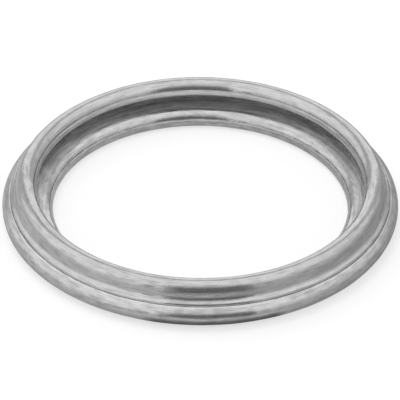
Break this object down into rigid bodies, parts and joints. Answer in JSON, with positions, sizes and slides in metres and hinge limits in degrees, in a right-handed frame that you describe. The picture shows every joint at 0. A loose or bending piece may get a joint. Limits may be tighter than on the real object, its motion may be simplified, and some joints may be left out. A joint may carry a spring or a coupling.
{
  "type": "drain plug sealing washer",
  "caption": "Crushable metal sealing ring rolled from one thin strip, with a closed lower roll, a short flange and an open rolled bead on top.",
  "frame": {"origin": "on the bore's axis, in the plane that the ring rests on", "axes": "+Z along the bore's axis, towards the open bead that the plug's head crushes"},
  "size_m": [0.0242, 0.0242, 0.0026],
  "materials": {
    "steel": "bright rolled, lightly brushed round the ring"
  },
  "bodies": {
    "root": {"washer": "steel"}
  },
  "joints": []
}
